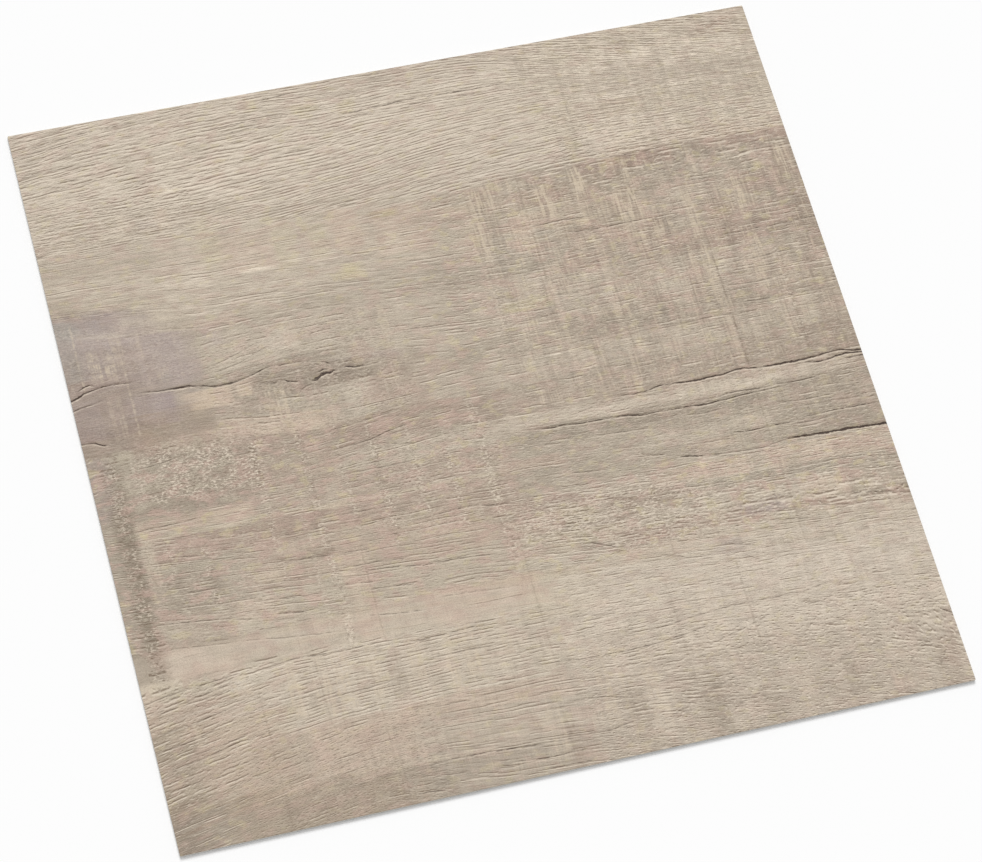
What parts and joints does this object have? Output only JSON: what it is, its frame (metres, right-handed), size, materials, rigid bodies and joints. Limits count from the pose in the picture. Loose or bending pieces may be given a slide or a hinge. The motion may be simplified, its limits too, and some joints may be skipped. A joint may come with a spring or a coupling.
{
  "type": "vinyl floor tile",
  "caption": "Thin square resilient floor tile with an embossed, rough-sawn greyed oak print on its wear face, glued down flat and butted edge to edge",
  "frame": {"origin": "centre of the underside, which is glued to the floor", "axes": "+Z out of the wear face, X along the printed grain, Y across it"},
  "size_m": [0.305, 0.305, 0.0012],
  "materials": {
    "printed_vinyl": "satin-matte embossed wear layer over a greyed oak print"
  },
  "bodies": {
    "root": {"vinyl_tile": "printed_vinyl"}
  },
  "joints": []
}
